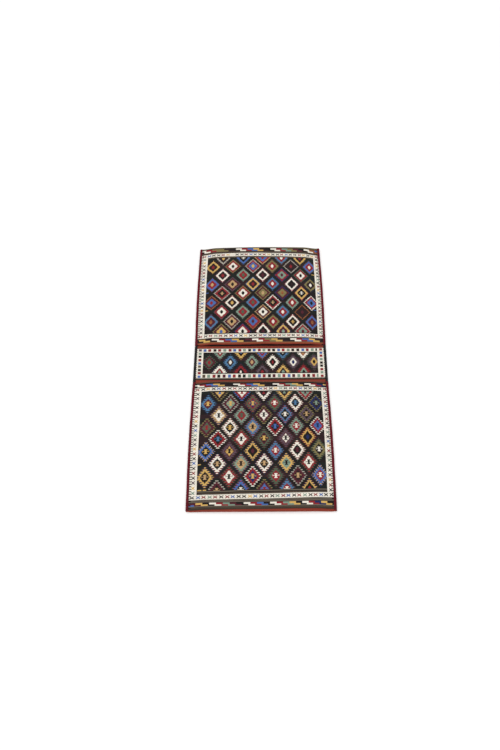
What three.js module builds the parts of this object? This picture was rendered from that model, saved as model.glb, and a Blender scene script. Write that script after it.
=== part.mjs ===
// Kilim saddle bag, lying flat and empty.
//
// One long strip of weft-faced wool cloth makes the whole bag: its two ends are folded up and back over
// the middle, and the sides of each fold are closed, which gives two pouches whose mouths face each other
// across a narrow bridge. Wool yarn overcast along the four pouch sides closes them, black yarn is wrapped
// along the two open edges of the bridge, and a binding finishes the cut end of the cloth at each mouth.
// Every edge is pressed thin under its yarn, so the bag lies flat on its cloth.
//
// Millimetres. +X is across the bag, +Y runs from one pouch to the other, +Z is up.
// The origin is on the floor, under the middle of the bridge.

import * as THREE from 'three';

// ---- Driving dimensions ----

const WIDTH = 520; // over the side seams
const POUCH_LENGTH = 585; // from the fold at the bottom of a pouch to its mouth
const BRIDGE_LENGTH = 190; // cloth between the two mouths
const CLOTH = 3.5; // thickness of the woven cloth
const POUCH_SPACE = 8; // clear height inside an empty pouch
const SLOPE_WIDTH = 48; // strip beside each side seam where the front comes down to the back
const CLEARANCE = 0.3; // gap kept between pieces that touch

const SEAM_WIDTH = 11.7; // yarn overcast along a side, measured across the bag
const SEAM_YARN = 2.5; // height of the yarn above and below the pressed cloth
const SEAM_EDGE = 3; // thickness of the yarn outside the cloth's edge
const PRESSED_CLOTH = 2; // thickness of one layer of cloth inside a side seam
const SEAM_ROUND = 2.4; // rounding of the outer corners of a seam

const BINDING_WIDTH = 9.3; // yarn bound over the cut end of the cloth at a mouth, measured along the bag
const BINDING_EDGE = 2; // thickness of the binding outside the cut end
const BINDING_BELOW = 0.9; // thickness of the binding under the cloth
const BINDING_ABOVE = 1.7; // thickness of the binding on top of the cloth
const BOUND_CLOTH = 1.6; // thickness of the cloth inside a binding
const BINDING_ROUND = 0.8; // rounding of the outer corners of a binding

const FOLD_SEGMENTS = 5; // divisions in a quarter of a folded end

// ---- Places worked out from them ----

const HALF_LENGTH = BRIDGE_LENGTH / 2 + POUCH_LENGTH;
const MOUTH = BRIDGE_LENGTH / 2; // distance of each mouth from the middle
const HALF_WIDTH = WIDTH / 2;
const CLOTH_HALF_WIDTH = HALF_WIDTH - SEAM_EDGE - CLEARANCE;
const SEAM_INNER = HALF_WIDTH - SEAM_WIDTH; // inner side of a seam's yarn
const PRESS_START = SEAM_INNER - CLEARANCE; // the cloth is pressed thin beyond this
const FULL_CLOTH_END = PRESS_START - 0.4; // and has its full thickness inside this
const SLOPE_START = FULL_CLOTH_END - SLOPE_WIDTH;

// Heights of the back layer's underside and top, and the front layer's underside and top.
const OPEN_LEVELS = [0, CLOTH, CLOTH + POUCH_SPACE, 2 * CLOTH + POUCH_SPACE];
const CLOSED_LEVELS = [0, CLOTH, CLOTH + CLEARANCE, 2 * CLOTH + CLEARANCE];
const PRESSED_BACK = SEAM_YARN + CLEARANCE;
const PRESSED_FRONT = PRESSED_BACK + PRESSED_CLOTH + CLEARANCE;
const PRESSED_LEVELS = [
  PRESSED_BACK,
  PRESSED_BACK + PRESSED_CLOTH,
  PRESSED_FRONT,
  PRESSED_FRONT + PRESSED_CLOTH,
];

// ---- Materials ----

const wool = (color) => new THREE.MeshStandardMaterial({ color, roughness: 0.95, metalness: 0 });
const clothWool = wool(0x4a3a34);
const seamWool = wool(0x6e1f2b);
const edgeHair = wool(0x1d1a1a);
const bindingWool = wool(0x8a3326);

// ---- How the layers settle across the bag ----

/** The four heights of the two layers at a distance from the bag's centre line. */
function levelsAt(x) {
  const distance = Math.abs(x);
  if (distance >= PRESS_START) return PRESSED_LEVELS;
  const closed = THREE.MathUtils.clamp((distance - SLOPE_START) / SLOPE_WIDTH, 0, 1);
  return OPEN_LEVELS.map((open, i) => THREE.MathUtils.lerp(open, CLOSED_LEVELS[i], closed));
}

/** Moves a height given for the open middle of a pouch to where it is at x. */
function settle(x, z) {
  const levels = levelsAt(x);
  const top = OPEN_LEVELS.length - 1;
  if (z >= OPEN_LEVELS[top]) return levels[top] + z - OPEN_LEVELS[top];
  const i = OPEN_LEVELS.findLastIndex((level) => z >= level);
  return THREE.MathUtils.mapLinear(z, OPEN_LEVELS[i], OPEN_LEVELS[i + 1], levels[i], levels[i + 1]);
}

/**
 * Sweeps a side profile, drawn in the bag's Y and Z for the open middle of a pouch, across the bag
 * through the given stations, and settles it at each of them.
 */
function sweepAcross(profile, stations) {
  const steps = stations.length - 1;
  const geometry = new THREE.ExtrudeGeometry(profile, {
    depth: steps,
    steps,
    curveSegments: FOLD_SEGMENTS,
    bevelEnabled: false,
  });
  const points = geometry.getAttribute('position');
  for (let i = 0; i < points.count; i++) {
    const x = stations[Math.round(points.getZ(i))];
    points.setXYZ(i, x, points.getX(i), settle(x, points.getY(i)));
  }
  geometry.computeVertexNormals();
  return geometry;
}

/** Stations at both sides of the centre line, from the far left to the far right. */
const bothSides = (distances) => [...distances.map((d) => -d), ...distances.toReversed()];

// ---- The cloth ----

/**
 * The folded strip seen from its side: the back along the floor, a round fold at each end, and the two
 * fronts lying above it, each ending in the thin tongue that its binding holds.
 */
function stripProfile() {
  const [, backTop, frontUnder, frontTop] = OPEN_LEVELS;
  const foldRadius = frontTop / 2;
  const foldCentre = HALF_LENGTH - foldRadius;
  const tongueUnder = frontUnder + BINDING_BELOW + CLEARANCE;
  const tongueTop = tongueUnder + BOUND_CLOTH;
  const tongueEnd = MOUTH + BINDING_EDGE + CLEARANCE;
  const tongueRoot = MOUTH + BINDING_WIDTH + CLEARANCE;
  const quarter = Math.PI / 2;

  const profile = new THREE.Shape();
  profile.moveTo(-foldCentre, 0);
  profile.lineTo(foldCentre, 0);
  profile.absarc(foldCentre, foldRadius, foldRadius, -quarter, quarter, false);
  profile.lineTo(tongueRoot, frontTop);
  profile.lineTo(tongueRoot, tongueTop);
  profile.lineTo(tongueEnd, tongueTop);
  profile.lineTo(tongueEnd, tongueUnder);
  profile.lineTo(tongueRoot, tongueUnder);
  profile.lineTo(tongueRoot, frontUnder);
  profile.absarc(foldCentre, foldRadius, POUCH_SPACE / 2, quarter, -quarter, true);
  profile.lineTo(-foldCentre, backTop);
  profile.absarc(-foldCentre, foldRadius, POUCH_SPACE / 2, 3 * quarter, quarter, true);
  profile.lineTo(-tongueRoot, frontUnder);
  profile.lineTo(-tongueRoot, tongueUnder);
  profile.lineTo(-tongueEnd, tongueUnder);
  profile.lineTo(-tongueEnd, tongueTop);
  profile.lineTo(-tongueRoot, tongueTop);
  profile.lineTo(-tongueRoot, frontTop);
  profile.absarc(-foldCentre, foldRadius, foldRadius, quarter, 3 * quarter, false);
  return profile;
}

function wovenStrip() {
  const stations = bothSides([CLOTH_HALF_WIDTH, PRESS_START, FULL_CLOTH_END, SLOPE_START]);
  const mesh = new THREE.Mesh(sweepAcross(stripProfile(), stations), clothWool);
  mesh.name = 'woven_strip';
  return mesh;
}

// ---- Yarn along the sides ----

/**
 * Yarn wrapped over a pressed edge: a channel, open towards the bag, that closes round layers of cloth
 * standing `height` high, drawn in X and Z for the right-hand side.
 */
function wrapProfile(height) {
  const outer = height + 2 * (SEAM_YARN + CLEARANCE);
  const inside = CLOTH_HALF_WIDTH + CLEARANCE;
  const corner = HALF_WIDTH - SEAM_ROUND;
  const quarter = Math.PI / 2;

  const profile = new THREE.Shape();
  profile.moveTo(SEAM_INNER, 0);
  profile.absarc(corner, SEAM_ROUND, SEAM_ROUND, -quarter, 0, false);
  profile.absarc(corner, outer - SEAM_ROUND, SEAM_ROUND, 0, quarter, false);
  profile.lineTo(SEAM_INNER, outer);
  profile.lineTo(SEAM_INNER, outer - SEAM_YARN);
  profile.lineTo(inside, outer - SEAM_YARN);
  profile.lineTo(inside, SEAM_YARN);
  profile.lineTo(SEAM_INNER, SEAM_YARN);
  return profile;
}

/** A wrap on the right-hand side, from one place along the bag to another. */
function wrapGeometry(height, start, end) {
  const geometry = new THREE.ExtrudeGeometry(wrapProfile(height), {
    depth: end - start,
    curveSegments: 3,
    bevelEnabled: false,
  });
  geometry.rotateX(Math.PI / 2); // the profile stands up, and its depth runs towards -Y
  geometry.translate(0, end, 0);
  return geometry;
}

/** The same wrap on both sides of the bag: the left one is the right one turned about the upright axis. */
function wrapPair(names, material, height, start, end) {
  const [leftName, rightName] = names;
  const right = new THREE.Mesh(wrapGeometry(height, start, end), material);
  right.name = rightName;
  const left = new THREE.Mesh(wrapGeometry(height, -end, -start), material);
  left.name = leftName;
  left.rotation.z = Math.PI;
  return [left, right];
}

function sideSeams() {
  const bothLayers = 2 * PRESSED_CLOTH + CLEARANCE;
  return [
    ...wrapPair(['near_left_seam', 'near_right_seam'], seamWool, bothLayers, -HALF_LENGTH, -MOUTH),
    ...wrapPair(['far_left_seam', 'far_right_seam'], seamWool, bothLayers, MOUTH, HALF_LENGTH),
  ];
}

function bridgeEdges() {
  const end = MOUTH - CLEARANCE;
  return wrapPair(['bridge_left_edge', 'bridge_right_edge'], edgeHair, PRESSED_CLOTH, -end, end);
}

// ---- Binding at the mouths ----

/** The binding round the tongue of a front, drawn in Y and Z. `side` is -1 at the near mouth, 1 at the far. */
function bindingProfile(side) {
  const [, , frontUnder] = OPEN_LEVELS;
  const tongueUnder = frontUnder + BINDING_BELOW + CLEARANCE;
  const insideTop = tongueUnder + BOUND_CLOTH + CLEARANCE;
  const insideUnder = tongueUnder - CLEARANCE;
  const top = insideTop + BINDING_ABOVE;
  const inside = MOUTH + BINDING_EDGE;
  const root = MOUTH + BINDING_WIDTH;

  const outline = [
    [MOUTH + BINDING_ROUND, frontUnder],
    [root, frontUnder],
    [root, insideUnder],
    [inside, insideUnder],
    [inside, insideTop],
    [root, insideTop],
    [root, top],
    [MOUTH + BINDING_ROUND, top],
    [MOUTH, top - BINDING_ROUND],
    [MOUTH, frontUnder + BINDING_ROUND],
  ];
  return new THREE.Shape(outline.map(([y, z]) => new THREE.Vector2(side * y, z)));
}

function mouthBinding(name, side) {
  const stations = bothSides([FULL_CLOTH_END, SLOPE_START]);
  const mesh = new THREE.Mesh(sweepAcross(bindingProfile(side), stations), bindingWool);
  mesh.name = name;
  return mesh;
}

// ---- The bag ----

const group = new THREE.Group();
group.add(wovenStrip());
group.add(...sideSeams());
group.add(...bridgeEdges());
group.add(mouthBinding('near_mouth_binding', -1));
group.add(mouthBinding('far_mouth_binding', 1));

export default group;
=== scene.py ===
"""Kilim saddle bag lying flat and empty: two flatwoven pouches facing each other across a narrow bridge."""

import math

import bmesh
import bpy
import numpy as np
from bpy.props import FloatProperty, FloatVectorProperty, IntProperty, PointerProperty
from mathutils import Matrix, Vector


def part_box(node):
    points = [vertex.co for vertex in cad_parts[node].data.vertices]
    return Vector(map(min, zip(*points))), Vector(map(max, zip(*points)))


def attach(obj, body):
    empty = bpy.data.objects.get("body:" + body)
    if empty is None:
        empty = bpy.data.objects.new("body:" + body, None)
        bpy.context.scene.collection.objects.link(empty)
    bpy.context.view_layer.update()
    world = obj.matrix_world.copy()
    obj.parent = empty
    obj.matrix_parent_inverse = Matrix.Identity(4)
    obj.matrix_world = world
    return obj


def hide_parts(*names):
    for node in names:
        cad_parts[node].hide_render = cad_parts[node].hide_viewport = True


bl_info = {
    "name": "Kilim Saddle Bag",
    "version": (1, 0, 0),
    "blender": (4, 5, 0),
    "location": "View3D > Sidebar > Kilim Bag",
    "description": "Weaves and sews a flatwoven saddle bag around its packed frame",
    "category": "Add Mesh",
}

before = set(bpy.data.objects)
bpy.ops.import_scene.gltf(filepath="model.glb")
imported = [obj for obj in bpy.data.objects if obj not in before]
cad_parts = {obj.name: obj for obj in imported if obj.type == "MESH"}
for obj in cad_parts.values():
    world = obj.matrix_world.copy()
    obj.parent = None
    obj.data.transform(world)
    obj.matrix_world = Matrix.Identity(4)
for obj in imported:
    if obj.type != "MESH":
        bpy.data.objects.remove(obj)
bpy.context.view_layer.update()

MM = 0.001
BODY = "root"

# ---- Places taken from the frame, in metres ----

_, STRIP_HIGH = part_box("woven_strip")
SEAM_LOW, SEAM_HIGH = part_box("near_left_seam")
BINDING_LOW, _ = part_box("far_mouth_binding")

HALF_WIDTH = -SEAM_LOW.x
SEAM_WIDTH = SEAM_HIGH.x - SEAM_LOW.x
SEAM_HEIGHT = SEAM_HIGH.z
SEAM_INNER = HALF_WIDTH - SEAM_WIDTH  # from the middle line to a seam
CLOTH_HALF_WIDTH = STRIP_HIGH.x
BAG_END = STRIP_HIGH.y
MOUTH = BINDING_LOW.y
FRONT_TOP = STRIP_HIGH.z

# ---- The weave and the sewing, in metres and in steps of the weave ----

ROW_HEIGHT = 2.054 * MM
FOLD_ROWS = 12
BACK_ROWS = 48
BRIDGE_ROWS = 100
SLAB_GAP = 0.01  # between the two faces of a cloth's slab before it is laid in place
COARSE = 4  # a pouch's inner face has one cell for this many on its outer face
FRONT_START = 2.3 * MM  # from a mouth's opening to the first row of the front
BRIDGE_HELD = 60 * MM  # length of bridge that each pouch holds down
BACK_OVERLAP = 5 * MM  # how far the bridge's cloth runs in under each mouth
NEAR_SEED = 11  # the seeds of the unevenness of the two pouches and the bridge
FAR_SEED = 23
BRIDGE_SEED = 5
HEADROOM = 1.0 * MM  # left above the front for the cloth to sway in
PRESSED_OUTSIDE = 6 * MM  # a seam starts to press the cloth this far before its inner side
PRESSED_INSIDE = 2 * MM  # and has pressed it this far past it
SEWN_BACK = 3.8 * MM  # height of the back layer's middle inside a seam
SEWN_FRONT = 6.1 * MM  # height of the front layer's middle inside a seam
MOUTH_ZONE = 90 * MM  # length of front that waves with the mouth, and that the fold holds steady
NEAR_FOLD_SETBACK = 0.8 * MM  # how far the corners of the near fold lie behind its middle
FOLD_STEADIES = 0.6  # share of the front's sway that the fold takes away
LEAST_AIR = 0.2 * MM  # between a front and its back
BINDING_HALF_WIDTH = 2.5 * MM
BINDING_HALF_HEIGHT = 2.3 * MM
BINDING_LIFT = 0.4 * MM  # the binding's middle lies this far above the middle of the cloth
BINDING_SETBACK = 0.6 * MM  # the binding lies this far back from the opening

# ---- Settings that a user may change ----


def linear(hex_code):
    """The linear colour, with alpha, of an sRGB hex code such as #8f2a2c."""
    channels = [int(hex_code[i : i + 2], 16) / 255 for i in (1, 3, 5)]
    curve = [c / 12.92 if c <= 0.04045 else ((c + 0.055) / 1.055) ** 2.4 for c in channels]
    return (*curve, 1.0)


def length(name, description, millimetres):
    """A length property whose default is given in millimetres."""
    return FloatProperty(name=name, description=description, default=millimetres * MM, min=0, unit="LENGTH")


def count(name, description, default):
    """A property that counts steps of the weave."""
    return IntProperty(name=name, description=description, default=default, min=40)


def dye(name, description, hex_code):
    """A colour property whose default is an sRGB hex code."""
    default = linear(hex_code)
    return FloatVectorProperty(
        name=name, description=description, default=default, subtype="COLOR", size=4, min=0, max=1
    )


class BagClothSettings(bpy.types.PropertyGroup):
    """How thick the cloth is, how fine its weave is and how it lies."""

    thickness: length("Cloth Thickness", "Thickness of the woven cloth", 3.5)
    sewn_thickness: length("Sewn Thickness", "Thickness of each layer where the side seams press it", 2.0)
    front_rows: count("Front Rows", "Steps of the weave along a front", 280)
    columns: count("Columns", "Steps of the weave across the cloth", 228)
    slope: length("Slope", "Strip beside each seam where the front comes down to the back", 62)
    sewn_front: length("Sewn Front Height", "Height of the front's middle beside the seams", 5.6)
    unevenness: length("Unevenness", "How far the front rises and dips from flat", 1.7)
    back_unevenness: length("Back Unevenness", "How far the bridge lifts off the floor", 1.2)
    weft_slant: length("Weft Slant", "How far the near weft runs off square at each side", 6.0)
    weft_bow: length("Weft Bow", "How far the middle of the far weft runs ahead of its sides", 4.7)
    warp_drift: length("Warp Drift", "How far the middle of the pattern lies to the right", 8.5)
    fold_bow: length("Fold Bow", "How far the corners of the far fold lie behind its middle", 8.0)
    belly: length("Belly", "How far the pouches' sides swell outwards halfway down", 3.2)
    mouth_lift: length("Mouth Lift", "How far the mouth's edge waves up and down", 1.3)


class BagYarnSettings(bpy.types.PropertyGroup):
    """The sewing yarns."""

    seam_pitch: length("Seam Pitch", "Distance from one overcast stitch to the next", 3.0)
    seam_yarn: length("Seam Yarn", "Thickness of the overcasting yarn", 3.2)
    edge_pitch: length("Edge Pitch", "Distance from one turn of the edge wrapping to the next", 2.7)
    edge_yarn: length("Edge Yarn", "Thickness of the edge wrapping", 2.9)
    binding_pitch: length("Binding Pitch", "Distance from one turn of the mouth binding to the next", 2.5)
    binding_yarn: length("Binding Yarn", "Thickness of the mouth binding's yarn", 2.7)
    wander: length("Wander", "How far a hand-sewn row strays from a straight line", 0.5)


class BagDyeSettings(bpy.types.PropertyGroup):
    """The dyed wools, each with the letter that stands for it in the weaver's charts."""

    k: dye("Black", "k, natural black-brown wool of the ground", "#1b1615")
    d: dye("Dark Plum", "d, plum brown", "#2c1c1e")
    w: dye("Ivory", "w, undyed white wool", "#e6dfd1")
    e: dye("Grey White", "e, undyed grey wool", "#a9a296")
    r: dye("Crimson", "r, madder red", "#86242a")
    m: dye("Maroon", "m, dark madder", "#51202a")
    b: dye("Cobalt", "b, clear indigo blue", "#4766a1")
    s: dye("Steel Blue", "s, pale indigo", "#4c7396")
    n: dye("Navy", "n, deep indigo", "#1f2a55")
    g: dye("Sage", "g, pale grey green", "#7a8f7f")
    f: dye("Moss", "f, dark grey green", "#4b5a48")
    o: dye("Olive", "o, brown green", "#7d7149")
    y: dye("Ochre", "y, weld yellow", "#cca55d")
    t: dye("Tan", "t, pale walnut", "#b9976b")
    u: dye("Grey Purple", "u, greyed purple", "#57474f")
    c: dye("Copper", "c, orange brown", "#8f5735")
    q: dye("Brick", "q, rust red of the plain stripes", "#87392a")
    z: dye("Smoke Brown", "z, grey brown of the thin stripes", "#524639")
    h: dye("Green Black", "h, black wool with a green cast, in bands of the ground", "#1a1e1b")
    a: dye("Mole Grey", "a, brown grey wool of the palest thin stripes", "#6c6255")
    seam: dye("Seam Burgundy", "Yarn overcast along the pouches' sides", "#6a1824")
    edge: dye("Edge Black", "Goat hair wrapped along the bridge's edges", "#1d1b1c")
    binding: dye("Binding Rust", "Yarn bound over the mouths' edges", "#8a3a24")


WOOLS = "kdwermbsngfoytucqzha"
GROUND_WOOLS = "kkhkhd"  # what the ground's bands are drawn from
OUTER_WOOLS = "fdnm"  # the faint outermost teeth of a comb
REACH_ROWS = 28  # no lozenge reaches further than this from its middle, in steps of the weave
REACH_COLUMNS = 20


def cloth_settings():
    return bpy.context.scene.bag_cloth


def dye_settings():
    return bpy.context.scene.bag_dyes


# ---- The weaver's charts ----
#
# A chart is an array of wools, one for each step of the weave. Its columns run across the bag from left
# to right, and its rows run along the cloth from the mouth. Each lozenge is five letters: its kind, then
# the wool of its ring, a second wool, and the wools of its middle and its figure. A comb (c) has a ring
# with a row of teeth, and the second wool between them. A thin comb (t) has a narrower ring, and a double
# comb (b) has a ring of the second wool inside the first. A rope (r) has a chain of slanting dashes, then
# a ring of the second wool.

NEAR_LOZENGES = (
    "rodyb rbrwr cwmdr cyndg rergm",
    "cskmy remgy bfrny cfmrw cwrks rondg",
    "ctnwk cgmrf romwk tsrkw roukt",
    "romfr cwrky csrtk rwrkb cgmrw rwrbn",
    "rwrks crfwk bfmdy bumwk tyrkn",
    "cbtky bumyk tynkm csmrw cwrkm cofkw",
    "cwrkt cgrtk cwrkt cyngk crfwk",
    "cynkt crfwk rwrny cfmrw remdt cbtrw",
    "remkt cbrkw rombr csmrw tynkr",
)
FAR_LOZENGES = (
    "tekdy cbnkw rtrbr csmrw cykdr",
    "cykdr rorwk rerby comrw reddr cbmrw",
    "cwrdr cgkrf cwrdm rnrgm rfrwk",
    "cbmrt rumtk cysdr cskrw cwrkd cokdw",
    "rerkt rorwk romot rnmoc cyrkw",
    "rcmbr cwrdy cskrf rwrkt cgkrw rwrbk",
    "cruwk cgkrf rtmwk cskrw rcddm",
    "csmmc remtk rcrbm cokrw cwrky cbmmc",
    "romyb rnrwk cwrkm cynmg rergm",
)
BRIDGE_LOZENGES = (
    "cgkrw cykkb rcbrb tskkw cwkct",
    "rfmfr cskdw cgkmt cwkkr cudwn cudyk",
    "cwkrg crkkw cukdr cykdg crkgk",
)

STEPPED_NEAR_BOTTOM = "bmykwrgmkwrbkwrgykwrnyk"
STEPPED_NEAR_MOUTH = "wrbydkwrbydkwrgydwrny"
STEPPED_FAR_MOUTH = "dydwrbydmwroydkwrbyd"
STEPPED_FAR_FOLD = "wroodkwrbydkwrgomkwcb"

FIGURE = (
    "...xxxxx...",
    "...xxxxx...",
    "....xxx....",
    "x...xxx...x",
    ".xxxxxxxxx.",
    "x...xxx...x",
    "....xxx....",
    "....xxx....",
    "...xxxxx...",
    "...xxxxx...",
)
SLIM_FIGURE = (
    "..xxx..",
    "..xxx..",
    "...x...",
    "x.xxx.x",
    ".xxxxx.",
    "x.xxx.x",
    "...x...",
    "..xxx..",
    "..xxx..",
)
EYE = (
    "..x..",
    ".xxx.",
    ".xxx.",
    ".xxx.",
    ".xxx.",
    ".xxx.",
    ".xxx.",
    ".xxx.",
    "..x..",
)
BROAD_EYE = (
    "..x..",
    ".xxx.",
    ".xxx.",
    "xxxxx",
    "xxxxx",
    "xxxxx",
    "xxxxx",
    "xxxxx",
    ".xxx.",
    ".xxx.",
    "..x..",
)
BROAD_CROSS = (
    "xx...xx",
    ".xx.xx.",
    "..xxx..",
    ".xxxxx.",
    ".xx.xx.",
    "xx...xx",
)
TALL_CROSS = (
    "x...x",
    "xx.xx",
    ".xxx.",
    ".xxx.",
    ".xxx.",
    "xx.xx",
    "x...x",
)


class LozengeStyle:
    """
    The sizes of a pouch's lozenges, each as half the width in columns and half the height in rows: the
    middle, ring and teeth of a comb, and the middle, ring and chain of a rope. roomy is how much wider
    a white middle is. chain is how thick a rope's dashes and the links between them are, and spike is how
    far a comb's points reach at its sides. figures are for a black middle, a coloured one and a thin comb.
    """

    def __init__(self, comb, roomy, rope, chain, spike, figures):
        self.comb = comb
        self.roomy = roomy
        self.rope = rope
        self.chain = chain
        self.spike = spike
        self.figures = figures


NEAR_STYLE = LozengeStyle(
    comb=((7.7, 12.5), (10.7, 17.4), (13.6, 21.8)),
    roomy=0.4,
    rope=((7.3, 11.8), (11.2, 17.8), (15.0, 22.8)),
    chain=(3.4, 0),
    spike=3.0,
    figures=(FIGURE, FIGURE, BROAD_EYE),
)
FAR_STYLE = LozengeStyle(
    comb=((8.6, 13.4), (12.2, 19.0), (12.9, 20.0)),
    roomy=0,
    rope=((8.6, 12.8), (12.3, 17.8), (15.4, 21.4)),
    chain=(2.6, 1.7),
    spike=2.6,
    figures=(SLIM_FIGURE, BROAD_EYE, BROAD_EYE),
)
BRIDGE_STYLE = LozengeStyle(
    comb=((6.9, 11.4), (10.8, 17.4), (12.8, 20.6)),
    roomy=0,
    rope=((6.8, 11.2), (10.4, 16.8), (14.2, 20.8)),
    chain=(2.8, 0),
    spike=3.6,
    figures=(EYE, BROAD_EYE, BROAD_EYE),
)


class Chart:
    """A rectangle of weave steps that stripes, borders, lozenges and figures are woven into."""

    def __init__(self, rows, columns, row_height, seed):
        self.cells = np.zeros((rows, columns), np.int32)
        draw = np.random.default_rng(seed)
        row = 0
        while row < rows:
            band = int(draw.integers(3, 12))
            self.cells[row : row + band] = WOOLS.index(GROUND_WOOLS[draw.integers(len(GROUND_WOOLS))])
            row += band
        self.row_height = row_height
        self.column_width = 2 * CLOTH_HALF_WIDTH / columns

    def row(self, distance):
        """The row at a distance in millimetres from the start of the cloth."""
        return round(distance * MM / self.row_height)

    def column(self, distance):
        """The column at a distance in millimetres from the bag's left side."""
        return round((distance * MM - HALF_WIDTH + CLOTH_HALF_WIDTH) / self.column_width)

    def fill(self, rows, columns, wool):
        self.cells[slice(*rows), slice(*columns)] = WOOLS.index(wool)

    def stripes(self, start, pattern):
        """Weaves full-width stripes, each given as (width in millimetres, wool)."""
        for width, wool in pattern:
            self.fill((self.row(start), self.row(start + width)), (None, None), wool)
            start += width

    def stepped_band(self, start, width, first, pitch, wools, shifts=(0, 0.75)):
        """Two rows of blocks in a run of wools. One row is shifted by most of a block."""
        middle = self.row(start + width / 2)
        for rows, shift in zip(((self.row(start), middle), (middle, self.row(start + width))), shifts):
            for number, wool in enumerate(wools):
                left = max(0, self.column(first + (number + shift) * pitch))
                right = max(0, self.column(first + (number + shift + 1) * pitch))
                self.fill(rows, (left, right), wool)

    def figure(self, shape, row, column, wool, window=None):
        """Weaves a small shape of crossed cells, centred on a row and a column and cut off at a window."""
        first, last, start, stop = window or (0, self.cells.shape[0], 0, self.cells.shape[1])
        top = row - len(shape) // 2
        left = column - len(shape[0]) // 2
        for j, line in enumerate(shape, top):
            for i, mark in enumerate(line, left):
                if mark == "x" and first <= j < last and start <= i < stop:
                    self.cells[j, i] = WOOLS.index(wool)

    def lozenge(self, word, row, column, window, style):
        """Weaves one lozenge, cut off at the window of rows and columns that the field has."""
        kind, ring, second, middle, figure = word
        top, bottom, left, right = window
        rows = np.arange(max(top, row - REACH_ROWS), min(bottom, row + REACH_ROWS + 1))
        columns = np.arange(max(left, column - REACH_COLUMNS), min(right, column + REACH_COLUMNS + 1))
        down = (rows - row)[:, None]
        across = np.abs(columns - column)[None, :]
        block = self.cells[rows[0] : rows[-1] + 1, columns[0] : columns[-1] + 1]
        level = (np.abs(down) + 1) // 2
        fall = np.maximum(2 * level - 0.5, 0)
        tooth_row = level % 2 == 0

        def inside(size, more=0.0):
            """Cells inside a lozenge with stepped sides, two rows to a step."""
            half_width, height = size
            return across < half_width + more - fall * half_width / height

        def paint(cells, wool):
            block[np.broadcast_to(cells, block.shape)] = WOOLS.index(wool)

        if kind == "r":
            inner, band, outer = style.rope
            dash, link = style.chain
            paint(inside(outer) & ~inside(outer, -dash) & tooth_row, ring)
            paint(inside(outer, -0.6) & ~inside(outer, -0.6 - link) & ~tooth_row, ring)
            paint(inside(band, 0.8) & ~tooth_row, second)
            paint(inside(band), second)
            paint(inside(inner), middle)
        else:
            inner, band, teeth = style.comb
            thin = 0.7 * (kind == "t")
            roomy = style.roomy * (middle == "w")
            paint(inside(teeth, 1.9) & tooth_row, OUTER_WOOLS[(row + column) % len(OUTER_WOOLS)])
            paint(inside(band, 1.2), second)
            paint(inside(teeth, 0.9) & tooth_row, second)
            paint((across < band[0] + style.spike) & (level <= 0), second)
            paint(inside(teeth) & tooth_row, ring)
            paint(inside(band, -0.3 * thin), ring)
            paint(inside(inner, thin + roomy), middle)
            if kind == "b":
                paint(inside(inner, 0.4), second)
                paint(inside(inner, -1.4), middle)
        on_black, on_colour, solid = style.figures
        shape = on_black if middle == "k" else on_colour
        if kind == "t" and figure in "nmr":
            shape = solid
        self.figure(shape, row, column, figure, window)

    def dashes(self, places, wool):
        """Short single passes of one wool, each at a distance from the mouth and from the left side."""
        for along, across in places:
            row = self.row(along)
            self.fill((row, row + 2), (self.column(across), self.column(across + 13)), wool)

    def lozenge_field(self, words, window, first_row, row_pitch, first_column, column_pitch, style):
        """Weaves the rows of lozenges. Those with five lie between the ones of those with six."""
        for number, line in enumerate(words):
            lozenges = line.split()
            row = self.row(first_row + number * row_pitch)
            start = 0 if len(lozenges) == 6 else 1
            for order, word in enumerate(lozenges):
                column = self.column(first_column + (start + 2 * order) * column_pitch)
                self.lozenge(word, row, column, window, style)

    def border(self, span, left, right, direction, shape, pitch, wools):
        """A white border down the cloth or across it, with small figures a pitch of steps apart."""
        self.fill(span, (left, right), "w")
        lengthwise = direction == "down"
        middle = (left + right) // 2 if lengthwise else (span[0] + span[1]) // 2
        start, end = span if lengthwise else (left, right)
        count = round((end - start) / pitch)
        for number in range(count):
            along = start + round((number + 0.5) * (end - start) / count)
            place = (along, middle) if lengthwise else (middle, along)
            self.figure(shape, *place, wools[number % len(wools)])


def front_borders(chart, upper, lower, upper_wools, lower_wools):
    """The four white borders of a front. upper and lower are given in millimetres from the mouth."""
    upper = (chart.row(upper[0]), chart.row(upper[1]))
    lower = (chart.row(lower[0]), chart.row(lower[1]))
    left = (chart.column(10), chart.column(34))
    right = (chart.column(487), chart.column(510))
    down = (upper[1], lower[0])
    chart.border(down, *left, "down", TALL_CROSS, 10.2, "kugkurykbgkuyrkbkrkuyg")
    chart.border(down, *right, "down", TALL_CROSS, 10.2, "gkrbkurkugkbyrkgkkuyrkb")
    chart.border(upper, left[0], right[1], "across", BROAD_CROSS, 8.4, upper_wools)
    chart.border(lower, left[0], right[1], "across", BROAD_CROSS, 8.4, lower_wools)


def weave_side_edges(chart, end, tooth):
    """The thin dark line just inside each seam, with teeth of a given number of columns."""
    columns = chart.cells.shape[1]
    for j in range(end):
        reach = 3 + (tooth if j % 5 < 2 else 0)
        chart.fill((j, j + 1), (0, reach), "k")
        chart.fill((j, j + 1), (columns - reach, columns), "k")


def back_stripes(chart, start, end):
    """The plain back: rust bands with narrow brown ones between them, and black rows just inside the mouth
    that are painted shade for the mouth's opening.
    """
    chart.fill((start, end), (None, None), "q")
    for row in range(start + 6, end, 8):
        chart.fill((row, row + 1), (None, None), "z")
    # Painted shade: black rows where the mouth's opening lies in shadow.
    chart.fill((end - 3, end), (None, None), "k")


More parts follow.
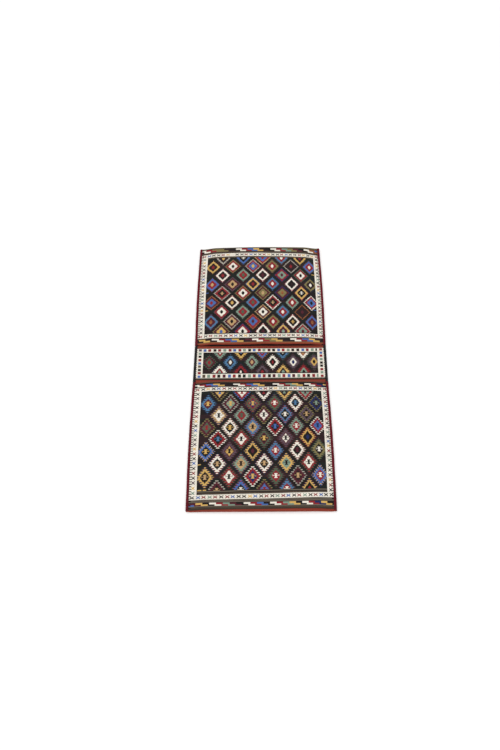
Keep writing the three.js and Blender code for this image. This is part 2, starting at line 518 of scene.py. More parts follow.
def near_chart(rows, columns, row_height):
    """The near pouch, from its mouth down the front, round the fold and along the back."""
    chart = Chart(rows, columns, row_height, seed=31)
    chart.stripes(0, ((6, "z"), (6, "k")))
    chart.stepped_band(12, 13, 0, 24.8, STEPPED_NEAR_MOUTH)
    chart.stripes(25, ((3, "k"),))
    field = (chart.row(54), chart.row(496), chart.column(34), chart.column(487))
    chart.lozenge_field(
        NEAR_LOZENGES,
        field,
        first_row=54,
        row_pitch=55,
        first_column=60,
        column_pitch=40.3,
        style=NEAR_STYLE,
    )
    chart.dashes(((382, 34), (490, 38), (490, 54)), "y")
    chart.stripes(496, ((2, "k"), (4, "a"), (4, "k"), (4, "z"), (2, "k")))
    front_borders(chart, (28, 48), (512, 533), "rkykbrkrukkrbrkygkurbkkyk", "kbrgrkrbkkybkrkgrbkrgkrbk")
    chart.stripes(533, ((2, "k"), (4, "a"), (2, "k"), (4, "a"), (2, "k")))
    chart.stepped_band(547, 14, -12, 22.6, STEPPED_NEAR_BOTTOM)
    chart.stripes(561, ((4, "a"), (2, "k"), (4, "z"), (2, "k"), (2, "z"), (2, "k")))
    chart.fill((chart.row(577), chart.row(606)), (None, None), "q")
    weave_side_edges(chart, chart.row(575), tooth=3)
    back_stripes(chart, chart.row(606), rows)
    return chart.cells


def far_chart(rows, columns, row_height):
    """The far pouch, from its mouth up the front, round the fold and along the back."""
    chart = Chart(rows, columns, row_height, seed=47)
    chart.stripes(0, ((7, "q"), (3, "c"), (3, "z")))
    chart.stepped_band(13, 15, -12, 25.6, STEPPED_FAR_MOUTH, shifts=(0.75, 0))
    chart.stripes(28, ((3, "k"), (2, "z"), (2, "k")))
    field = (chart.row(60), chart.row(508), chart.column(34), chart.column(487))
    chart.lozenge_field(
        FAR_LOZENGES[::-1],
        field,
        first_row=65,
        row_pitch=54.9,
        first_column=58,
        column_pitch=40.7,
        style=FAR_STYLE,
    )
    chart.dashes(((185, 34), (405, 474)), "y")
    chart.dashes(((292, 34), (190, 474)), "b")
    field_end = chart.row(515)
    chart.fill((field_end - 4, field_end), (None, None), "z")
    front_borders(chart, (35, 56), (515, 536), "rkrgrkrbkykkrbkkrgrkrbrkr", "rbkkrywkkrbkkrykkrbkkryky")
    chart.stripes(536, ((3, "z"), (2, "k"), (4, "z"), (2, "k"), (2, "z")))
    chart.stepped_band(549, 17, 0, 24.8, STEPPED_FAR_FOLD, shifts=(0.75, 0))
    chart.stripes(566, ((3, "k"), (5, "z"), (2, "o"), (4, "z"), (2, "o"), (24, "z")))
    weave_side_edges(chart, chart.row(575), tooth=3)
    back_stripes(chart, chart.row(606), rows)
    return chart.cells


def blocks(width, height):
    """A plain block, as wide and as high as given in steps of the weave."""
    return ("x" * width,) * height


def bridge_chart(rows, columns, row_height):
    """The bridge, from under the near mouth to under the far mouth."""
    chart = Chart(rows, columns, row_height, seed=53)
    chart.stripes(0, ((18, "q"), (4, "k"), (4, "z"), (2, "k")))
    far_border = (chart.row(162), chart.row(182))
    near_border = (chart.row(28), chart.row(50))
    field = (near_border[1] + 2, far_border[0] - 2, chart.column(34), chart.column(483))
    chart.lozenge_field(
        BRIDGE_LOZENGES[::-1],
        field,
        first_row=55,
        row_pitch=53,
        first_column=57.2,
        column_pitch=40.9,
        style=BRIDGE_STYLE,
    )
    left = (chart.column(9), chart.column(34))
    right = (chart.column(484), chart.column(510))
    down = (near_border[0], far_border[1])
    chart.border(near_border, left[0], right[1], "across", blocks(5, 8), 8.6, "bzgrkmbrkkgrbrkmgrbmgrkrgr")
    chart.border(far_border, left[0], right[1], "across", blocks(5, 7), 8.6, "ubrkrgrbrgkbrgmkbrgkdbrgkb")
    chart.border(down, *left, "down", blocks(5, 6), 8.8, "brkzbrkgu")
    chart.border(down, *right, "down", blocks(5, 6), 8.8, "rgrkkgrb")
    # The last black stripe lies under the far mouth's opening and is painted shade, the shadow under the
    # mouth's edge.
    chart.stripes(182, ((2, "z"), (11, "q"), (7, "k")))
    weave_side_edges(chart, rows, tooth=1)
    return chart.cells


# ---- How the cloth lies ----


def smooth_step(value, start, end):
    """0 before start, 1 after end, and a smooth turn between them."""
    share = np.clip((value - start) / (end - start), 0, 1)
    return share * share * (3 - 2 * share)


SWELLS = ((0.31, 0.42), (0.19, 0.3), (0.11, 0.17), (0.06, 0.07), (0.033, 0.035))  # length and share


def unevenness(x, y, seed):
    """Slow rises and dips of cloth that has been used and folded, from about -1 to 1."""
    total = np.zeros(np.broadcast(x, y).shape)
    draw = np.random.default_rng(seed)
    for wavelength, strength in SWELLS:
        for _ in range(3):
            angle, phase = draw.uniform(0, math.tau, 2)
            along = x * math.cos(angle) + y * math.sin(angle)
            total = total + strength * 0.7 * np.sin(math.tau * along / wavelength + phase)
    return total


def pressed_by_seam(x):
    """How far a seam presses the cloth, from 0 to 1, and how thick that leaves it."""
    cloth = cloth_settings()
    pressed = smooth_step(np.abs(x), SEAM_INNER - PRESSED_OUTSIDE, SEAM_INNER + PRESSED_INSIDE)
    return pressed, cloth.thickness + (cloth.sewn_thickness - cloth.thickness) * pressed


def layer_heights(x, y, end):
    """Heights of the middle of the back layer and of the front layer, and the thickness of each."""
    cloth = cloth_settings()
    closed = smooth_step(np.abs(x), SEAM_INNER - cloth.slope, SEAM_INNER)
    pressed, thickness = pressed_by_seam(x)
    open_front = FRONT_TOP - cloth.thickness / 2 - HEADROOM
    sway = unevenness(x, y, NEAR_SEED if end < 0 else FAR_SEED) * cloth.unevenness
    mouth = 1 - smooth_step(np.abs(y) - MOUTH, 0, MOUTH_ZONE)
    fold = smooth_step(np.abs(y), BAG_END - MOUTH_ZONE, BAG_END)
    # The mouth's edge waves with lengths of about 27 cm and 15 cm.
    wave = np.sin(x * 23 + 1.3 * end) * 0.6 + np.sin(x * 41 + 2.1) * 0.4
    front = open_front + sway * (1 - FOLD_STEADIES * fold) + mouth * wave * cloth.mouth_lift
    front = front + (cloth.sewn_front - front) * closed
    back = cloth.thickness / 2 + pressed * (SEWN_BACK - cloth.thickness / 2)
    front = np.maximum(front, back + thickness + LEAST_AIR)
    front = front + pressed * (SEWN_FRONT - front)
    return back, front, thickness


def fold_setback(share, end):
    """How far the fold lies behind the bag's end. Only the far fold bows. share is -1 to 1 across."""
    setback = cloth_settings().fold_bow if end > 0 else NEAR_FOLD_SETBACK
    return setback * share**2


def weft_shift(share, rows, end):
    """How far the rows of the weave lie beyond their true place, because the weft wasn't beaten square."""
    cloth = cloth_settings()
    # The near weft's slant grows from the mouth on, and most of it goes again just before the fold.
    if end < 0:
        slant = smooth_step(rows, 10, 130) - 0.6 * smooth_step(rows, 252, 276)
        bow = 0.6 * (smooth_step(rows, 200, 255) - smooth_step(rows, 260, 280))
    else:
        slant = 0.55 * smooth_step(rows, 0, 70)
        bow = smooth_step(rows, 0, 70)
    shift = bow * cloth.weft_bow * (1 - share**2) - slant * cloth.weft_slant * share
    return shift * (1 - smooth_step(rows, cloth.front_rows, cloth.front_rows + 50))


def belly_at(y):
    """How far a pouch's sides swell outwards at a distance y from the bag's middle."""
    along = np.clip((np.abs(y) - MOUTH) / (BAG_END - MOUTH), 0, 1)
    return cloth_settings().belly * np.sin(math.pi * along)


def pouch_place(across, rows, side, end):
    """
    Where a point of a pouch's cloth lies. across runs from 0 at the left edge to 1, rows counts steps of
    the weave from the mouth, side is 1 on the outer face and -1 on the inner one, and end is -1 for the
    near pouch and 1 for the far one.
    """
    cloth = cloth_settings()
    x = (2 * across - 1) * CLOTH_HALF_WIDTH
    share = x / CLOTH_HALF_WIDTH
    front_start = MOUTH + FRONT_START
    fold_radius = FRONT_TOP / 2
    fold_start = BAG_END - fold_radius - fold_setback(share, end)
    rows = rows + weft_shift(share, rows, end) / ROW_HEIGHT
    x = x + cloth.warp_drift * (1 - share**2)
    in_front = np.clip(rows / cloth.front_rows, 0, 1)
    in_fold = np.clip((rows - cloth.front_rows) / FOLD_ROWS, 0, 1)
    in_back = np.clip((rows - cloth.front_rows - FOLD_ROWS) / BACK_ROWS, 0, 1)
    turn = in_fold * math.pi
    level = front_start + in_front * (fold_start - front_start)
    level = level - in_back * (fold_start - MOUTH - BACK_OVERLAP)
    back, front, thickness = layer_heights(x, end * level, end)
    middle = (back + front) / 2
    half_gap = (front - back) / 2
    y = level + np.sin(turn) * (fold_radius - thickness / 2 + side * thickness / 2)
    z = middle + np.cos(turn) * (half_gap + side * thickness / 2)
    return np.stack([x * (1 + belly_at(y) / CLOTH_HALF_WIDTH), end * y, z], axis=1)


def bridge_place(across, rows, side):
    """Where a point of the bridge's cloth lies. Its rows run from the near mouth to the far one."""
    cloth = cloth_settings()
    x = (2 * across - 1) * CLOTH_HALF_WIDTH
    y = (2 * rows / BRIDGE_ROWS - 1) * (MOUTH + BACK_OVERLAP)
    x = x + 0.5 * cloth.warp_drift * (1 - (x / CLOTH_HALF_WIDTH) ** 2)
    pressed, thickness = pressed_by_seam(x)
    held = smooth_step(np.abs(y), MOUTH - BRIDGE_HELD, MOUTH)
    lift = (unevenness(x, y, BRIDGE_SEED) + 1) / 2 * cloth.back_unevenness * (1 - held)
    z = cloth.thickness / 2 + np.maximum(lift, 0) + pressed * (SEWN_BACK - cloth.thickness / 2)
    return np.stack([x, y, z + side * thickness / 2], axis=1)


# ---- Making the cloth ----


def flat_shell(columns, rows, coarse):
    """
    A flat closed slab: a fine grid, and a second one with cells that are coarse times as large, joined
    round the rim.
    """
    shell = bmesh.new()
    shell.loops.layers.uv.new("weave")
    bmesh.ops.create_grid(shell, x_segments=columns, y_segments=rows, size=0.5, calc_uvs=True)
    inner = bmesh.ops.create_grid(
        shell, x_segments=columns // coarse, y_segments=rows // coarse, size=0.5, calc_uvs=True
    )
    bmesh.ops.translate(shell, vec=(0, 0, -SLAB_GAP), verts=inner["verts"])
    inner_faces = {face for vert in inner["verts"] for face in vert.link_faces}
    bmesh.ops.reverse_faces(shell, faces=list(inner_faces))
    rim = [edge for edge in shell.edges if edge.is_boundary]
    bmesh.ops.bridge_loops(shell, edges=rim)
    if any(not edge.is_manifold for edge in shell.edges):
        raise RuntimeError("the cloth's rim is not closed")
    return shell


def mesh_from(shape, name):
    """Turns a finished bmesh into a mesh. Returns it with its points as an array."""
    mesh = bpy.data.meshes.new(name)
    shape.to_mesh(mesh)
    shape.free()
    points = np.zeros(len(mesh.vertices) * 3, np.float32)
    mesh.vertices.foreach_get("co", points)
    return mesh, points.reshape(-1, 3).astype(float)


def move_points(mesh, points):
    mesh.vertices.foreach_set("co", points.astype(np.float32).ravel())


def add_piece(name, mesh):
    """Shades a mesh smooth and puts it in the scene."""
    mesh.polygons.foreach_set("use_smooth", np.ones(len(mesh.polygons), bool))
    mesh.update()
    piece = bpy.data.objects.new(name, mesh)
    bpy.context.scene.collection.objects.link(piece)
    return piece


def weave_cloth(name, cells, place, inside_out, coarse):
    """Makes a piece of cloth from its chart. place gives where a point of the weave lies."""
    rows, columns = cells.shape
    mesh, flat = mesh_from(flat_shell(columns, rows, coarse), name)
    side = np.where(flat[:, 2] > -SLAB_GAP / 2, 1.0, -1.0)
    across = flat[:, 0] + 0.5
    along = (flat[:, 1] + 0.5) * rows
    move_points(mesh, place(across, along, side))
    paint_weave(mesh, cells, across, along, side, inner_share=0.5 if coarse == 1 else 0.12)
    if inside_out:
        mesh.flip_normals()
    return add_piece(name, mesh)


def paint_weave(mesh, cells, across, along, side, inner_share):
    """
    Gives each face the wool of its step in the chart, and maps the weave in metres and for export. The
    inner face has inner_share of the export map.
    """
    rows, columns = cells.shape
    corner_count = len(mesh.loops)
    vertex = np.zeros(corner_count, np.int32)
    mesh.loops.foreach_get("vertex_index", vertex)
    starts = np.zeros(len(mesh.polygons), np.int32)
    sizes = np.zeros(len(mesh.polygons), np.int32)
    mesh.polygons.foreach_get("loop_start", starts)
    mesh.polygons.foreach_get("loop_total", sizes)
    face = np.repeat(np.arange(len(starts)), sizes)
    mean_across = np.bincount(face, across[vertex]) / sizes
    mean_along = np.bincount(face, along[vertex]) / sizes
    mean_side = np.bincount(face, side[vertex]) / sizes
    column = np.clip((mean_across * columns).astype(int), 0, columns - 1)
    row = np.clip(mean_along.astype(int), 0, rows - 1)
    dyes = dye_settings()
    palette = np.array([tuple(getattr(dyes, letter)) for letter in WOOLS], np.float32)
    colours = palette[cells[row, column]][face]
    wool = mesh.color_attributes.new("wool", "BYTE_COLOR", "CORNER")
    wool.data.foreach_set("color", colours.ravel())
    metres = np.stack([across[vertex] * 2 * CLOTH_HALF_WIDTH, along[vertex] * ROW_HEIGHT], axis=1)
    mesh.uv_layers["weave"].uv.foreach_set("vector", metres.astype(np.float32).ravel())
    outer = mean_side[face] > 0.9
    inner = mean_side[face] < -0.9
    v = along[vertex] / rows
    inner_v = np.where(inner, (inner_share - 0.02) * v, inner_share - 0.01)
    v = np.where(outer, inner_share + (1 - inner_share) * v, inner_v)
    bake = np.stack([across[vertex], v], axis=1)
    export_map = mesh.uv_layers.new(name="OFBake")
    export_map.uv.foreach_set("vector", bake.astype(np.float32).ravel())


# ---- Materials ----


def add_node(tree, kind, settings=None, links=None):
    """Adds a node, sets its properties and sockets, and links its inputs to other nodes' outputs."""
    node = tree.nodes.new(kind)
    for key, value in (settings or {}).items():
        if isinstance(key, str) and hasattr(node, key):
            setattr(node, key, value)
        else:
            node.inputs[key].default_value = value
    for key, source in (links or {}).items():
        tree.links.new(source, node.inputs[key])
    return node


def new_material(name):
    material = bpy.data.materials.new(name)
    material.use_nodes = True
    material.node_tree.nodes.clear()
    return material, material.node_tree


def wave_scale(spacing):
    """The scale at which a wave texture has one ridge in each spacing, given in millimetres."""
    return math.tau / 20 / spacing * 1000


def handwoven_wool():
    """
    Weft-faced flatweave of handspun, plant-dyed wool. The eye sees matt colour that shifts a little from
    one dye lot and one hank to the next, and fine ribs where the weft packs over the warp.
    """
    material, tree = new_material("handwoven_wool")
    wool = add_node(tree, "ShaderNodeVertexColor", {"layer_name": "wool"})
    weave = add_node(tree, "ShaderNodeUVMap", {"uv_map": "weave"})
    lots = add_node(
        tree, "ShaderNodeMapping", {"Scale": (9.0, 70.0, 1.0)}, {"Vector": weave.outputs["UV"]}
    )
    abrash = add_node(
        tree, "ShaderNodeTexNoise", {"Scale": 1.0, "Detail": 4.0, "Roughness": 0.6},
        {"Vector": lots.outputs["Vector"]},
    )
    shade = add_node(
        tree, "ShaderNodeMapRange",
        {"From Min": 0.3, "From Max": 0.7, "To Min": 0.84, "To Max": 1.16},
        {"Value": abrash.outputs["Fac"]},
    )
    fibre = add_node(
        tree, "ShaderNodeTexNoise", {"Scale": 420.0, "Detail": 3.0, "Roughness": 0.7},
        {"Vector": weave.outputs["UV"]},
    )
    speck = add_node(
        tree, "ShaderNodeMapRange",
        {"From Min": 0.3, "From Max": 0.7, "To Min": 0.86, "To Max": 1.14},
        {"Value": fibre.outputs["Fac"]},
    )
    value = add_node(
        tree, "ShaderNodeMath", {"operation": "MULTIPLY"},
        {0: shade.outputs["Result"], 1: speck.outputs["Result"]},
    )
    dyed = add_node(
        tree, "ShaderNodeHueSaturation", {},
        {"Value": value.outputs["Value"], "Color": wool.outputs["Color"]},
    )
    # One rib for each warp, 2.25 mm apart, and one ridge for each pass of weft, 1.1 mm apart.
    ribs = add_node(
        tree, "ShaderNodeTexWave",
        {"bands_direction": "X", "Scale": wave_scale(2.25), "Distortion": 0.6, "Detail": 1.0},
        {"Vector": weave.outputs["UV"]},
    )
    picks = add_node(
        tree, "ShaderNodeTexWave",
        {"bands_direction": "Y", "Scale": wave_scale(1.1), "Distortion": 1.5, "Detail": 1.0},
        {"Vector": weave.outputs["UV"]},
    )
    threads = add_node(
        tree, "ShaderNodeMath", {"operation": "MULTIPLY_ADD", 1: 0.45},
        {0: picks.outputs["Fac"], 2: ribs.outputs["Fac"]},
    )
    relief = add_node(
        tree, "ShaderNodeMath", {"operation": "MULTIPLY_ADD", 1: 0.9},
        {0: fibre.outputs["Fac"], 2: threads.outputs["Value"]},
    )
    bump = add_node(
        tree, "ShaderNodeBump", {"Strength": 0.6, "Distance": 0.35 * MM}, {"Height": relief.outputs["Value"]}
    )
    surface = add_node(
        tree, "ShaderNodeBsdfPrincipled",
        {"Roughness": 0.92, "Specular IOR Level": 0.12, "Sheen Weight": 0.03, "Sheen Roughness": 0.6},
        {"Base Color": dyed.outputs["Color"], "Normal": bump.outputs["Normal"]},
    )
    add_node(tree, "ShaderNodeOutputMaterial", {}, {"Surface": surface.outputs["BSDF"]})
    return material


def plied_yarn(name, colour, roughness, sheen, variation, slant):
    """
    Yarn plied from two strands. The eye sees a soft round cord with a slanting twist, and stitches that
    differ a little in depth of colour.
    """
    material, tree = new_material(name)
    place = add_node(tree, "ShaderNodeTexCoord")
    hank = add_node(
        tree, "ShaderNodeTexNoise", {"Scale": 190.0, "Detail": 2.0, "Roughness": 0.6},
        {"Vector": place.outputs["Object"]},
    )
    shade = add_node(
        tree, "ShaderNodeMapRange",
        {"From Min": 0.3, "From Max": 0.7, "To Min": 1 - variation, "To Max": 1 + variation},
        {"Value": hank.outputs["Fac"]},
    )
    dyed = add_node(
        tree, "ShaderNodeHueSaturation", {"Color": tuple(colour)}, {"Value": shade.outputs["Result"]}
    )
    turned = add_node(
        tree, "ShaderNodeMapping", {"Rotation": slant}, {"Vector": place.outputs["Object"]}
    )
    # The strands of the ply show as ridges 1.2 mm apart.
    strands = add_node(
        tree, "ShaderNodeTexWave",
        {"bands_direction": "X", "Scale": wave_scale(1.2), "Distortion": 1.2, "Detail": 2.0},
        {"Vector": turned.outputs["Vector"]},
    )
    bump = add_node(
        tree, "ShaderNodeBump", {"Strength": 0.55, "Distance": 0.3 * MM}, {"Height": strands.outputs["Fac"]}
    )
    surface = add_node(
        tree, "ShaderNodeBsdfPrincipled",
        {"Roughness": roughness, "Specular IOR Level": 0.15, "Sheen Weight": sheen, "Sheen Roughness": 0.5},
        {"Base Color": dyed.outputs["Color"], "Normal": bump.outputs["Normal"]},
    )
    add_node(tree, "ShaderNodeOutputMaterial", {}, {"Surface": surface.outputs["BSDF"]})
    return material


# ---- Making the yarn ----

TURN_STEPS = 8
DOUBLINGS = 3
YARN_SIDES = 5


def wind_yarn(run, pitch, yarn, half_across, half_high):
    """
    A yarn wound in close turns along +Y, from 0 to run, round an oval. A length of its turns is swept by a
    spin that also moves along, and is doubled until it is long enough. Its two ends are closed.
    """
    coil = bmesh.new()
    turns = max(1, round((run - yarn) / pitch / 2**DOUBLINGS))
    length_of_turns = (run - yarn) / 2**DOUBLINGS
    step = length_of_turns / (turns * TURN_STEPS)
    ring = bmesh.ops.create_circle(coil, segments=YARN_SIDES, radius=yarn / 2)
    bmesh.ops.translate(coil, vec=(half_across - yarn / 2, yarn / 2, 0), verts=ring["verts"])
    bmesh.ops.spin(
        coil,
        geom=list(coil.verts) + list(coil.edges),
        cent=(0, 0, 0),
        axis=(0, 1, 0),
        dvec=(0, step, 0),
        angle=math.tau * turns,
        steps=turns * TURN_STEPS,
    )
    for doubling in range(DOUBLINGS):
        copy = bmesh.ops.duplicate(coil, geom=list(coil.verts) + list(coil.edges) + list(coil.faces))
        copied = [part for part in copy["geom"] if isinstance(part, bmesh.types.BMVert)]
        bmesh.ops.translate(coil, vec=(0, length_of_turns * 2**doubling, 0), verts=copied)
    bmesh.ops.remove_doubles(coil, verts=list(coil.verts), dist=0.02 * MM)
    bmesh.ops.scale(coil, vec=(1, 1, half_high / half_across), verts=list(coil.verts))
    bmesh.ops.edgeloop_fill(coil, edges=[edge for edge in coil.edges if edge.is_boundary])
    bmesh.ops.recalc_face_normals(coil, faces=list(coil.faces))
    if any(not edge.is_manifold for edge in coil.edges):
        raise RuntimeError("the coil of yarn is not closed")
    return coil


def yarn_piece(name, coil, place):
    """Turns a straight coil into a piece. place gives where its points lie, never below the floor."""
    mesh, straight = mesh_from(coil, name)
    placed = place(straight)
    placed[:, 2] = np.maximum(placed[:, 2], 0)
    move_points(mesh, placed)
    return add_piece(name, mesh)


def hand_stitched(points, seed):
    """Gives each turn of a coil its own small looseness and lean, as hand sewing has."""
    # Two swells, about 6.9 mm and 3.6 mm long, so that no two turns next to each other are alike.
    along = points[:, 1]
    loose = 1 + 0.05 * np.sin(along * 911 + seed) + 0.04 * np.sin(along * 1733 + 2.3 * seed)
    moved = points.copy()
    moved[:, 0] *= loose
    moved[:, 2] *= loose
    return moved


def finish_piece(piece, material, slot, *nodes):
    """Gives a piece its material and ties it to the frame."""
    piece.data.materials.append(material)
    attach(piece, BODY)
    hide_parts(*nodes)
    return piece


# ---- Operators ----


class BAG_OT_weave_cloth(bpy.types.Operator):
    """Weave the cloth of both pouches and the bridge"""

    bl_idname = "bag.weave_cloth"
    bl_label = "Weave Cloth"

    def execute(self, context):
        cloth = context.scene.bag_cloth
        rows = cloth.front_rows + FOLD_ROWS + BACK_ROWS
        material = handwoven_wool()
        pouches = (("near_pouch_cloth", near_chart, -1), ("far_pouch_cloth", far_chart, 1))
        for name, draw_chart, end in pouches:
            cells = draw_chart(rows, cloth.columns, ROW_HEIGHT)
            piece = weave_cloth(
                name,
                cells,
                lambda across, along, side, end=end: pouch_place(across, along, side, end),
                inside_out=end < 0,
                coarse=COARSE,
            )
            finish_piece(piece, material, "kilim_cloth", "woven_strip")
        row_height = 2 * (MOUTH + BACK_OVERLAP) / BRIDGE_ROWS
        cells = bridge_chart(BRIDGE_ROWS, cloth.columns, row_height)
        bridge = weave_cloth("bridge_cloth", cells, bridge_place, inside_out=False, coarse=1)
        finish_piece(bridge, material, "kilim_cloth", "woven_strip")
        return {"FINISHED"}


NOTCH_PITCH = 8.3 * MM  # the seam's inner side bites into the cloth once in this length
NOTCH_DEPTH = 0.22  # as a share of half the seam's width
SEAM_FLATNESS = 0.96
SEAM_END_GAP = 1.5 * MM  # left free at a fold's corner


class BAG_OT_overcast_seams(bpy.types.Operator):
    """Overcast the four pouch sides with burgundy yarn"""

    bl_idname = "bag.overcast_seams"
    bl_label = "Overcast Seams"

    def execute(self, context):
        yarn = context.scene.bag_yarn
        dyes = context.scene.bag_dyes
        material = plied_yarn("overcasting_wool", dyes.seam, 0.9, 0.02, 0.25, (0, 0, 0.6))
        for number, (end, end_name) in enumerate(((-1, "near"), (1, "far"))):
            for side, side_name in ((-1, "left"), (1, "right")):
                node = f"{end_name}_{side_name}_seam"
                low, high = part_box(node)
                run = high.y - low.y - fold_setback(1, end) - SEAM_END_GAP
                start = low.y + (high.y - low.y - run) * (end < 0)
                coil = wind_yarn(run, yarn.seam_pitch, yarn.seam_yarn, SEAM_WIDTH / 2, SEAM_HEIGHT / 2)

                def place(points, end=end, side=side, low=low, high=high, number=number, start=start):
                    points = hand_stitched(points, 1.7 * number + side)
                    along = start + points[:, 1]
                    # The row of stitches strays in waves of about 37 cm and 16 cm.
                    stray = np.sin(along * 17 + side) * 0.6 + np.sin(along * 39 + end) * 0.4
                    inner = smooth_step(-side * points[:, 0], 0, SEAM_WIDTH / 2)
                    tooth = 1 + NOTCH_DEPTH * inner * np.sin(along * math.tau / NOTCH_PITCH)
                    x = (low.x + high.x) / 2 + points[:, 0] * tooth
                    x = x + side * (belly_at(along) - np.abs(stray) * yarn.wander)
                    z = SEAM_HEIGHT / 2 + points[:, 2] * SEAM_FLATNESS
                    return np.stack([x, along, z], axis=1)

                piece = yarn_piece(f"{end_name}_{side_name}_overcasting", coil, place)
                finish_piece(piece, material, "burgundy_yarn", node)
        return {"FINISHED"}


class BAG_OT_wrap_bridge_edges(bpy.types.Operator):
    """Wrap the bridge's two open edges with black goat hair"""

    bl_idname = "bag.wrap_bridge_edges"
    bl_label = "Wrap Bridge Edges"

    def execute(self, context):
        yarn = context.scene.bag_yarn
        dyes = context.scene.bag_dyes
        material = plied_yarn("goat_hair", dyes.edge, 0.7, 0.1, 0.35, (0, 0, 0.5))
        for side_name in ("left", "right"):
            node = f"bridge_{side_name}_edge"
            low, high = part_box(node)
            across = (high.x - low.x) / 2
            coil = wind_yarn(high.y - low.y, yarn.edge_pitch, yarn.edge_yarn, across, high.z / 2)

            def place(points, low=low, high=high):
                points = hand_stitched(points, 5.1)
                x = (low.x + high.x) / 2 + points[:, 0]
                return np.stack([x, low.y + points[:, 1], high.z / 2 + points[:, 2]], axis=1)

            piece = yarn_piece(f"bridge_{side_name}_wrapping", coil, place)
            finish_piece(piece, material, "black_yarn", node)
        return {"FINISHED"}


class BAG_OT_bind_mouths(bpy.types.Operator):
    """Bind the cut end of the cloth at each mouth with rust yarn"""

    bl_idname = "bag.bind_mouths"
    bl_label = "Bind Mouths"

    def execute(self, context):
        yarn = context.scene.bag_yarn
        dyes = context.scene.bag_dyes
        material = plied_yarn("binding_wool", dyes.binding, 0.9, 0.05, 0.2, (0, 0, 1.1))
        for end, end_name in ((-1, "near"), (1, "far")):
            node = f"{end_name}_mouth_binding"
            low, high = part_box(node)
            run = high.x - low.x
            pitch = yarn.binding_pitch
            coil = wind_yarn(run, pitch, yarn.binding_yarn, BINDING_HALF_WIDTH, BINDING_HALF_HEIGHT)

            def place(points, end=end, low=low, high=high):
                points = hand_stitched(points, 3.3 * end)
                x = low.x + points[:, 1]
                middle = (low.y + high.y) / 2 + end * BINDING_SETBACK
                y = middle + points[:, 0]
                _, front, _ = layer_heights(x, np.full_like(x, middle), end)
                return np.stack([x, y, front + BINDING_LIFT - points[:, 2]], axis=1)

            piece = yarn_piece(f"{end_name}_mouth_edging", coil, place)
            bm = bmesh.new()
            bm.from_mesh(piece.data)
            bmesh.ops.recalc_face_normals(bm, faces=list(bm.faces))
            bm.to_mesh(piece.data)
            bm.free()
            finish_piece(piece, material, "rust_yarn", node)
        return {"FINISHED"}


FLOOR_HALF_WIDTH = 60
# The camera looks down from beyond the near end, 49 degrees above the floor and a little askew.
CAMERA_PLACE = (0.0088, -2.4273, 2.7158)
CAMERA_LENS = 44.78
CAMERA_TURN = math.radians(1.185)  # about the vertical
CAMERA_TIP = math.radians(41.156)  # up from straight down
CAMERA_ROLL = math.radians(-1.322)  # about the line of sight


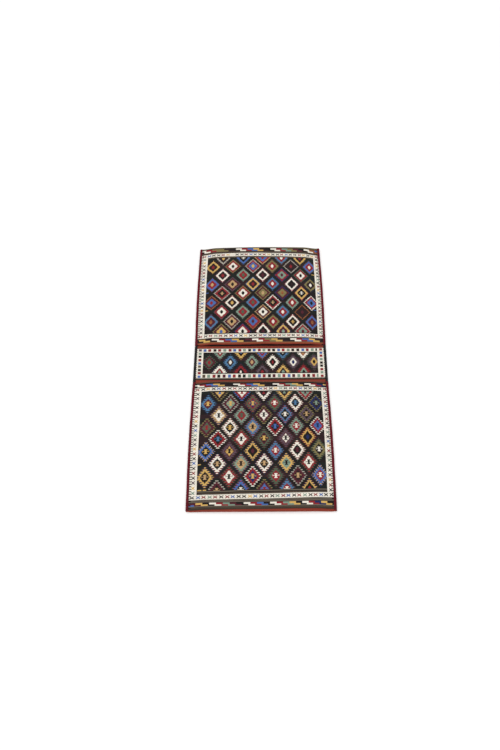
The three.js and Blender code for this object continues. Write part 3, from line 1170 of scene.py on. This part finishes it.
class BAG_OT_set_stage(bpy.types.Operator):
    """Add the pale floor, the soft light and the camera"""

    bl_idname = "bag.set_stage"
    bl_label = "Set Stage"

    def execute(self, context):
        scene = context.scene
        floor = bmesh.new()
        bmesh.ops.create_grid(floor, x_segments=1, y_segments=1, size=FLOOR_HALF_WIDTH)
        mesh = bpy.data.meshes.new("floor")
        floor.to_mesh(mesh)
        floor.free()
        floor_piece = bpy.data.objects.new("floor", mesh)
        scene.collection.objects.link(floor_piece)
        material, tree = new_material("matt_paper")
        surface = add_node(
            tree, "ShaderNodeBsdfPrincipled",
            {
                "Base Color": linear("#d9d8d7"), "Roughness": 0.9, "Specular IOR Level": 0.1,
                "Emission Color": linear("#ffffff"), "Emission Strength": 0.33,
            },
        )
        add_node(tree, "ShaderNodeOutputMaterial", {}, {"Surface": surface.outputs["BSDF"]})
        mesh.materials.append(material)

        world = bpy.data.worlds.new("studio")
        scene.world = world
        world.use_nodes = True
        background = world.node_tree.nodes["Background"]
        background.inputs["Color"].default_value = linear("#ffffff")
        background.inputs["Strength"].default_value = 0.98

        softbox = bpy.data.lights.new("key_softbox", "AREA")
        softbox.shape = "SQUARE"
        softbox.size = 1.6
        softbox.energy = 14
        lamp = bpy.data.objects.new("key_softbox", softbox)
        lamp.location = (-1.6, -0.6, 2.8)
        lamp.rotation_mode = "QUATERNION"
        lamp.rotation_quaternion = (-lamp.location).to_track_quat("-Z", "Y")
        scene.collection.objects.link(lamp)

        lens = bpy.data.cameras.new("camera")
        lens.lens = CAMERA_LENS
        lens.sensor_width = 36
        lens.clip_end = 300
        camera = bpy.data.objects.new("camera", lens)
        camera.location = CAMERA_PLACE
        turn = Matrix.Rotation(CAMERA_TURN, 3, "Z")
        tip = Matrix.Rotation(CAMERA_TIP, 3, "X")
        roll = Matrix.Rotation(CAMERA_ROLL, 3, "Z")
        camera.rotation_euler = (turn @ tip @ roll).to_euler()
        scene.collection.objects.link(camera)
        scene.camera = camera
        scene.view_settings.view_transform = "Standard"
        return {"FINISHED"}


OPERATORS = (
    BAG_OT_set_stage,
    BAG_OT_weave_cloth,
    BAG_OT_overcast_seams,
    BAG_OT_wrap_bridge_edges,
    BAG_OT_bind_mouths,
)


class BAG_PT_sidebar(bpy.types.Panel):
    """Lists the steps that make the bag"""

    bl_idname = "BAG_PT_sidebar"
    bl_label = "Kilim Bag"
    bl_space_type = "VIEW_3D"
    bl_region_type = "UI"
    bl_category = "Kilim Bag"

    def draw(self, context):
        for operator in OPERATORS:
            self.layout.operator(operator.bl_idname)
        for group in (context.scene.bag_cloth, context.scene.bag_yarn, context.scene.bag_dyes):
            box = self.layout.box()
            for name in group.__annotations__:
                box.prop(group, name)


CLASSES = (BagClothSettings, BagYarnSettings, BagDyeSettings, *OPERATORS, BAG_PT_sidebar)


def register():
    for cls in CLASSES:
        bpy.utils.register_class(cls)
    bpy.types.Scene.bag_cloth = PointerProperty(type=BagClothSettings)
    bpy.types.Scene.bag_yarn = PointerProperty(type=BagYarnSettings)
    bpy.types.Scene.bag_dyes = PointerProperty(type=BagDyeSettings)


def unregister():
    del bpy.types.Scene.bag_dyes
    del bpy.types.Scene.bag_yarn
    del bpy.types.Scene.bag_cloth
    for cls in reversed(CLASSES):
        bpy.utils.unregister_class(cls)


def main():
    register()
    for operator in OPERATORS:
        group, name = operator.bl_idname.split(".")
        getattr(getattr(bpy.ops, group), name)()


if __name__ == "__main__":
    main()
